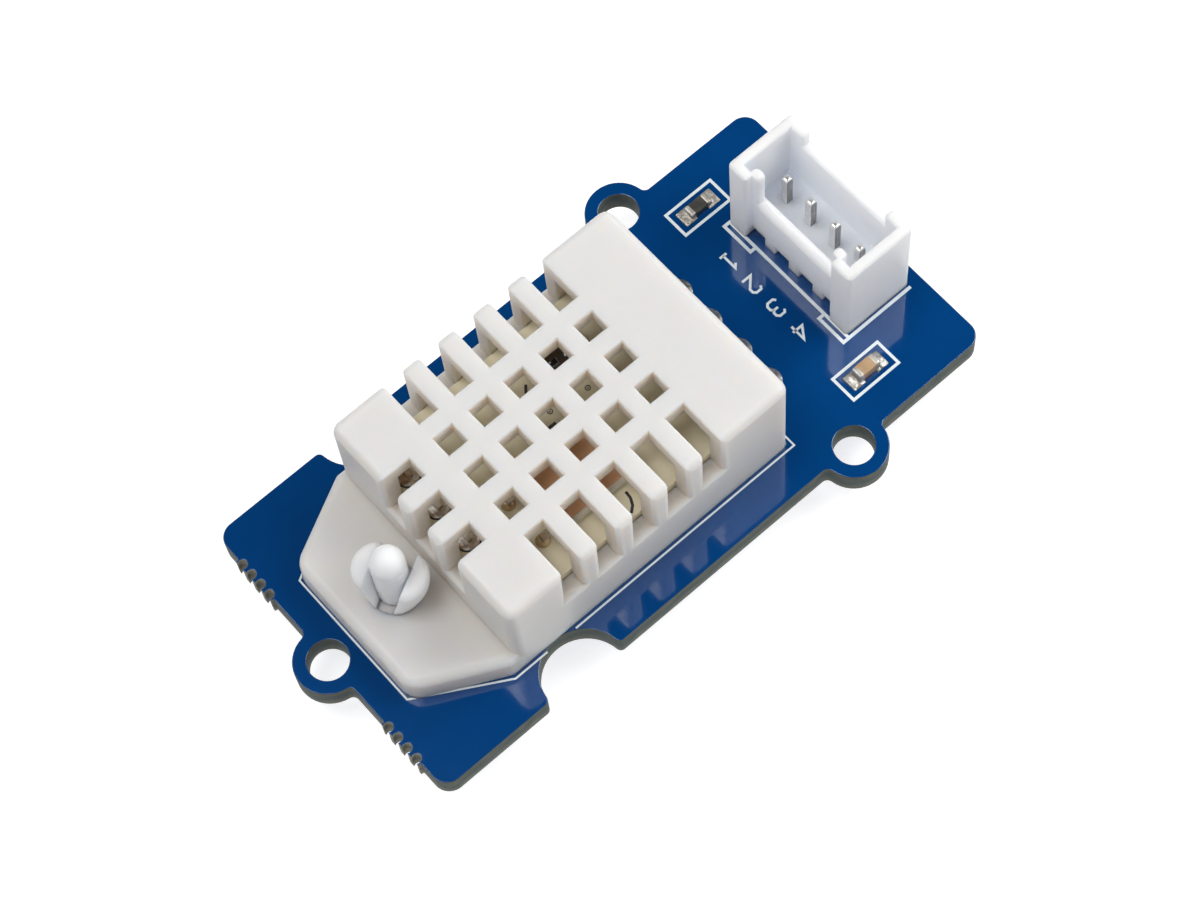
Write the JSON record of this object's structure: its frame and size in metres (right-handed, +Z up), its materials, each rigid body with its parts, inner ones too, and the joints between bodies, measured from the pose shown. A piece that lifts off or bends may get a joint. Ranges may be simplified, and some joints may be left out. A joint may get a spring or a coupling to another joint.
{
  "type": "temperature humidity sensor",
  "caption": "Small module board with a vented temperature and humidity sensor can held by a push rivet, a keyed pin header and chip parts.",
  "frame": {"origin": "middle of the footprint, level with the rivet pin's head and the can's lead tails, which the module stands on", "axes": "+X along the board, from the rivet end to the header end; +Y across the board; +Z up, out of the board's component face"},
  "size_m": [0.042, 0.024, 0.0112],
  "materials": {
    "board_laminate": "glossy blue solder mask over fibreglass",
    "can_plastic": "moulded ivory plastic, satin",
    "inner_laminate": "bare cream fibreglass",
    "header_plastic": "moulded white nylon, satin",
    "rivet_plastic": "moulded white nylon, slightly translucent",
    "tinned_metal": "tin plated, bright",
    "solder": "bright solder",
    "chip_resin": "black moulding resin",
    "resistor_ceramic": "black overglaze on ceramic",
    "capacitor_ceramic": "tan fired ceramic",
    "sensing_ceramic": "pale ceramic plate",
    "sensing_film": "brown sensing film",
    "bead_epoxy": "black epoxy bead"
  },
  "bodies": {
    "sensor_module": {"circuit_board": "board_laminate", "sensor_housing": "can_plastic", "sensor_back_cover": "can_plastic", "inner_circuit_board": "inner_laminate", "sensor_lead_1": "tinned_metal", "sensor_lead_2": "tinned_metal", "sensor_lead_3": "tinned_metal", "sensor_lead_4": "tinned_metal", "sensor_solder_joints": "solder", "inner_solder_joints": "solder", "humidity_plate": "sensing_ceramic", "humidity_film": "sensing_film", "humidity_leads": "tinned_metal", "humidity_solder_joints": "solder", "thermistor_bead": "bead_epoxy", "thermistor_leads": "tinned_metal", "controller_chip": "chip_resin", "controller_chip_legs": "tinned_metal", "inner_resistor_body": "resistor_ceramic", "inner_resistor_end_caps": "tinned_metal", "inner_capacitor_body": "capacitor_ceramic", "inner_capacitor_end_caps": "tinned_metal", "connector_housing": "header_plastic", "connector_pin_1": "tinned_metal", "connector_pin_2": "tinned_metal", "connector_pin_3": "tinned_metal", "connector_pin_4": "tinned_metal", "connector_solder_joints": "solder", "resistor_body": "resistor_ceramic", "resistor_end_caps": "tinned_metal", "resistor_solder_joints": "solder", "capacitor_body": "capacitor_ceramic", "capacitor_end_caps": "tinned_metal", "capacitor_solder_joints": "solder", "rivet_sleeve": "rivet_plastic"},
    "release_pin": {"rivet_pin": "rivet_plastic"}
  },
  "joints": [
    {"name": "rivet_pin_slide", "type": "slide", "parent": "sensor_module", "child": "release_pin", "axis": [0, 0, -1], "range_m": [0, 0.003]}
  ]
}
